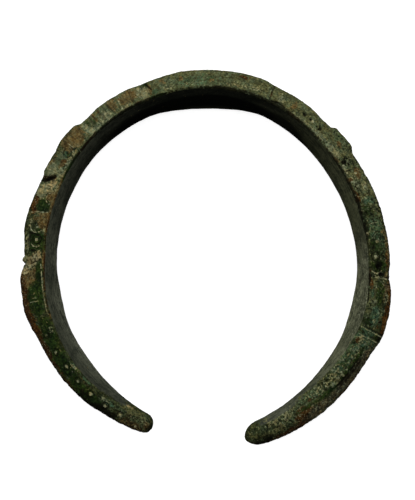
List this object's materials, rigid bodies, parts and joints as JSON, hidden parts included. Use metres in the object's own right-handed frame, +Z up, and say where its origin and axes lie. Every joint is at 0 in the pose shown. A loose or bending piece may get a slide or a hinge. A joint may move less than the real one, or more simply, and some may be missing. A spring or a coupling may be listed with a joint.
{
  "type": "penannular bracelet",
  "caption": "Open cast bronze bracelet with rounded terminals, a flat inner wall, and stepped plates and grooves on its sloping faces, under a green and brown patina.",
  "frame": {"origin": "middle of the bounding box, on the ground that the bracelet lies on", "axes": "+Z up along the ring's axis, +Y to the back of the ring, opposite the gap, +X to the right"},
  "size_m": [0.07, 0.0708, 0.0098],
  "materials": {
    "bronze_patina": "matt green and brown patina with pale soil in the hollows"
  },
  "bodies": {
    "root": {"bracelet": "bronze_patina"}
  },
  "joints": []
}
